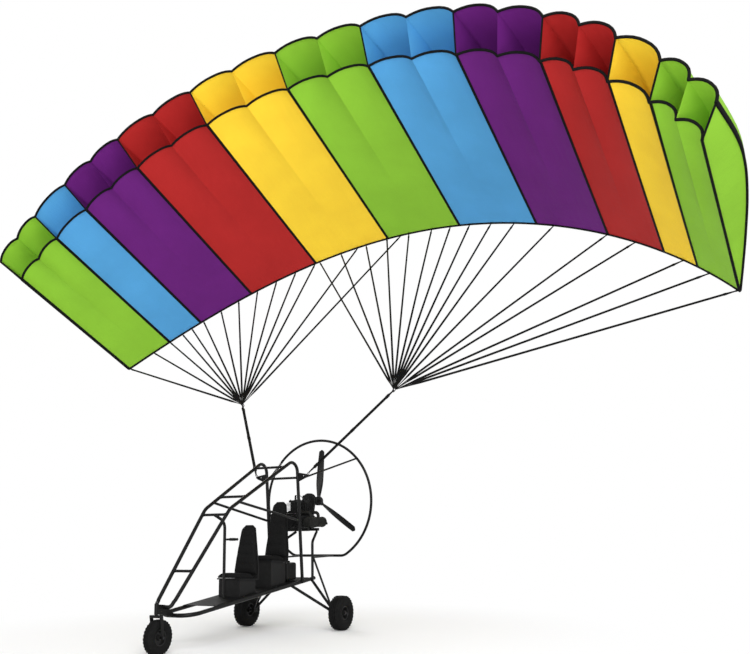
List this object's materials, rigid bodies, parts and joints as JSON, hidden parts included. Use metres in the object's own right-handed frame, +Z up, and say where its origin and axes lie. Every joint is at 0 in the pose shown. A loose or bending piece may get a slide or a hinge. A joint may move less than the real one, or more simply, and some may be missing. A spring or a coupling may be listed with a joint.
{
  "type": "powered parachute microlight aircraft",
  "caption": "Tandem two-seat powered parachute: a three-wheeled tube cart with a ringed pusher propeller below an arched ram-air canopy of bright colour panels.",
  "frame": {"origin": "on the floor, in the plane of symmetry, below the middle of the whole length from nose tyre to trailing edge", "axes": "+Z up, -Y forward (nose), +X to port"},
  "size_m": [10.7578, 6.5557, 8.0625],
  "materials": {
    "alloy_tube_black": "black powder coat",
    "axle_steel": "turned",
    "blade_black": "gloss composite",
    "engine_alloy": "black painted casting",
    "exhaust_black": "heat-proof black",
    "frame_black": "black powder coat",
    "line_black": "braided cord",
    "plastic_black": "matt moulded",
    "rim_black": "satin black",
    "ripstop_green": "coated ripstop cloth",
    "ripstop_light_blue": "coated ripstop cloth",
    "ripstop_purple": "coated ripstop cloth",
    "ripstop_red": "coated ripstop cloth",
    "ripstop_yellow": "coated ripstop cloth",
    "seat_cloth": "padded cloth",
    "tyre_black": "matt rubber",
    "webbing_black": "woven webbing"
  },
  "bodies": {
    "cart": {"cage_cross_tubes": "frame_black", "cage_nose_bow": "frame_black", "cage_tube_port": "frame_black", "cage_tube_starboard": "frame_black", "canopy_panel_01": "ripstop_green", "canopy_panel_02": "ripstop_light_blue", "canopy_panel_03": "ripstop_purple", "canopy_panel_04": "ripstop_red", "canopy_panel_05": "ripstop_yellow", "canopy_panel_06": "ripstop_green", "canopy_panel_07": "ripstop_light_blue", "canopy_panel_08": "ripstop_purple", "canopy_panel_09": "ripstop_red", "canopy_panel_10": "ripstop_yellow", "canopy_panel_11": "ripstop_green", "carburettors": "engine_alloy", "engine_block": "engine_alloy", "engine_mount": "frame_black", "exhaust_muffler": "exhaust_black", "floor_pan": "frame_black", "floor_rails": "frame_black", "front_seat_back_cushion": "seat_cloth", "front_seat_cushion": "seat_cloth", "front_seat_shell": "plastic_black", "front_upright": "frame_black", "fuel_tank": "plastic_black", "gear_leg_port": "frame_black", "gear_leg_starboard": "frame_black", "guard_ring": "alloy_tube_black", "guard_struts": "alloy_tube_black", "lines_port": "line_black", "lines_starboard": "line_black", "main_axle_port": "axle_steel", "main_axle_starboard": "axle_steel", "rear_seat_back_cushion": "seat_cloth", "rear_seat_cushion": "seat_cloth", "rear_seat_shell": "plastic_black", "rear_upright_port": "frame_black", "rear_upright_starboard": "frame_black", "reduction_drive": "engine_alloy", "riser_brackets": "frame_black", "riser_port": "webbing_black", "riser_starboard": "webbing_black", "seat_boxes": "engine_alloy", "side_braces": "frame_black", "steering_head": "frame_black"},
    "propeller": {"propeller_hub": "engine_alloy", "propeller_blades": "blade_black"},
    "nose_fork": {"nose_fork": "frame_black", "nose_axle": "axle_steel"},
    "nose_wheel": {"nose_tyre": "tyre_black", "nose_rim": "rim_black"},
    "main_wheel_port": {"main_tyre_port": "tyre_black", "main_rim_port": "rim_black"},
    "main_wheel_starboard": {"main_tyre_starboard": "tyre_black", "main_rim_starboard": "rim_black"}
  },
  "joints": [
    {"name": "propeller_spin", "type": "hinge", "parent": "cart", "child": "propeller", "pos_m": [0, -0.203, 1.47], "axis": [0, 1, 0], "continuous": true},
    {"name": "nose_steer", "type": "hinge", "parent": "cart", "child": "nose_fork", "pos_m": [0, -3.143, 0.4], "axis": [0, 0, 1], "range_deg": [-30, 30]},
    {"name": "nose_wheel_spin", "type": "hinge", "parent": "nose_fork", "child": "nose_wheel", "pos_m": [0, -3.113, 0.165], "axis": [1, 0, 0], "continuous": true},
    {"name": "main_wheel_port_spin", "type": "hinge", "parent": "cart", "child": "main_wheel_port", "pos_m": [0.66, -0.793, 0.19], "axis": [1, 0, 0], "continuous": true},
    {"name": "main_wheel_starboard_spin", "type": "hinge", "parent": "cart", "child": "main_wheel_starboard", "pos_m": [-0.66, -0.793, 0.19], "axis": [1, 0, 0], "continuous": true}
  ]
}
